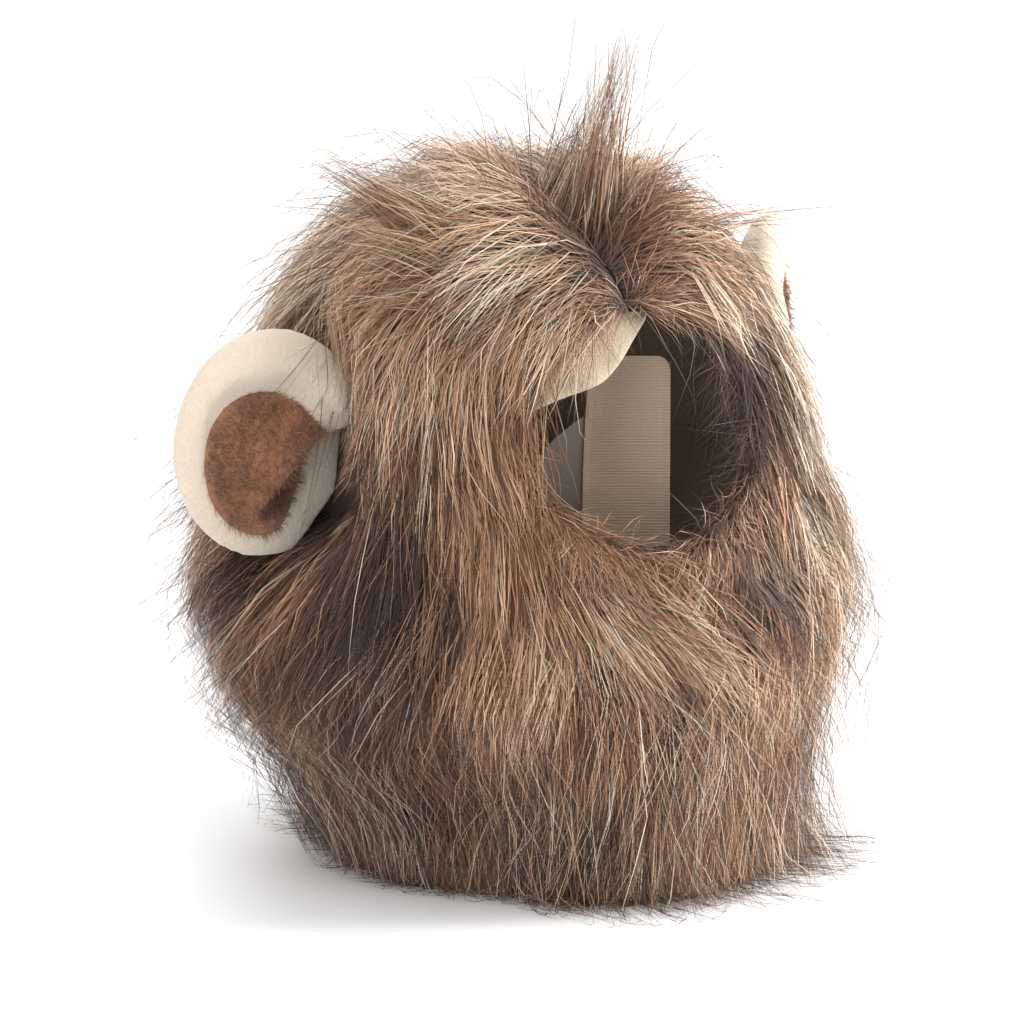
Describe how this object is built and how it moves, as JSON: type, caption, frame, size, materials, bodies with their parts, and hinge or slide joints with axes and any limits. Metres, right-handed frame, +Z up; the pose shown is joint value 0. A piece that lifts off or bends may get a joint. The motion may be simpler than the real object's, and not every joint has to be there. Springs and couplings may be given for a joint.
{
  "type": "pet lion mane wig",
  "caption": "Long-pile fur hood for a cat or small dog, with a round face opening, two padded ears, a lining and a closing flap with hook strip.",
  "frame": {"origin": "bottom centre of the whole wig's box, at the level of the neck rim", "axes": "+Z up from the neck rim to the crown, -Y out of the face opening, -X towards the drooping ear"},
  "size_m": [0.2916, 0.2406, 0.2997],
  "materials": {
    "fur": "long pile",
    "lining": "satin",
    "fleece": "matt fleece",
    "plush": "matt plush",
    "tape": "woven"
  },
  "bodies": {
    "root": {"hood_lining": "lining", "fur_panel_left": "fur", "fur_panel_right": "fur", "ear_left": "fleece", "ear_right": "fleece", "ear_patch_left": "plush", "ear_patch_right": "plush", "forehead_band": "fleece", "closing_flap": "lining", "hook_strip": "tape"}
  },
  "joints": []
}
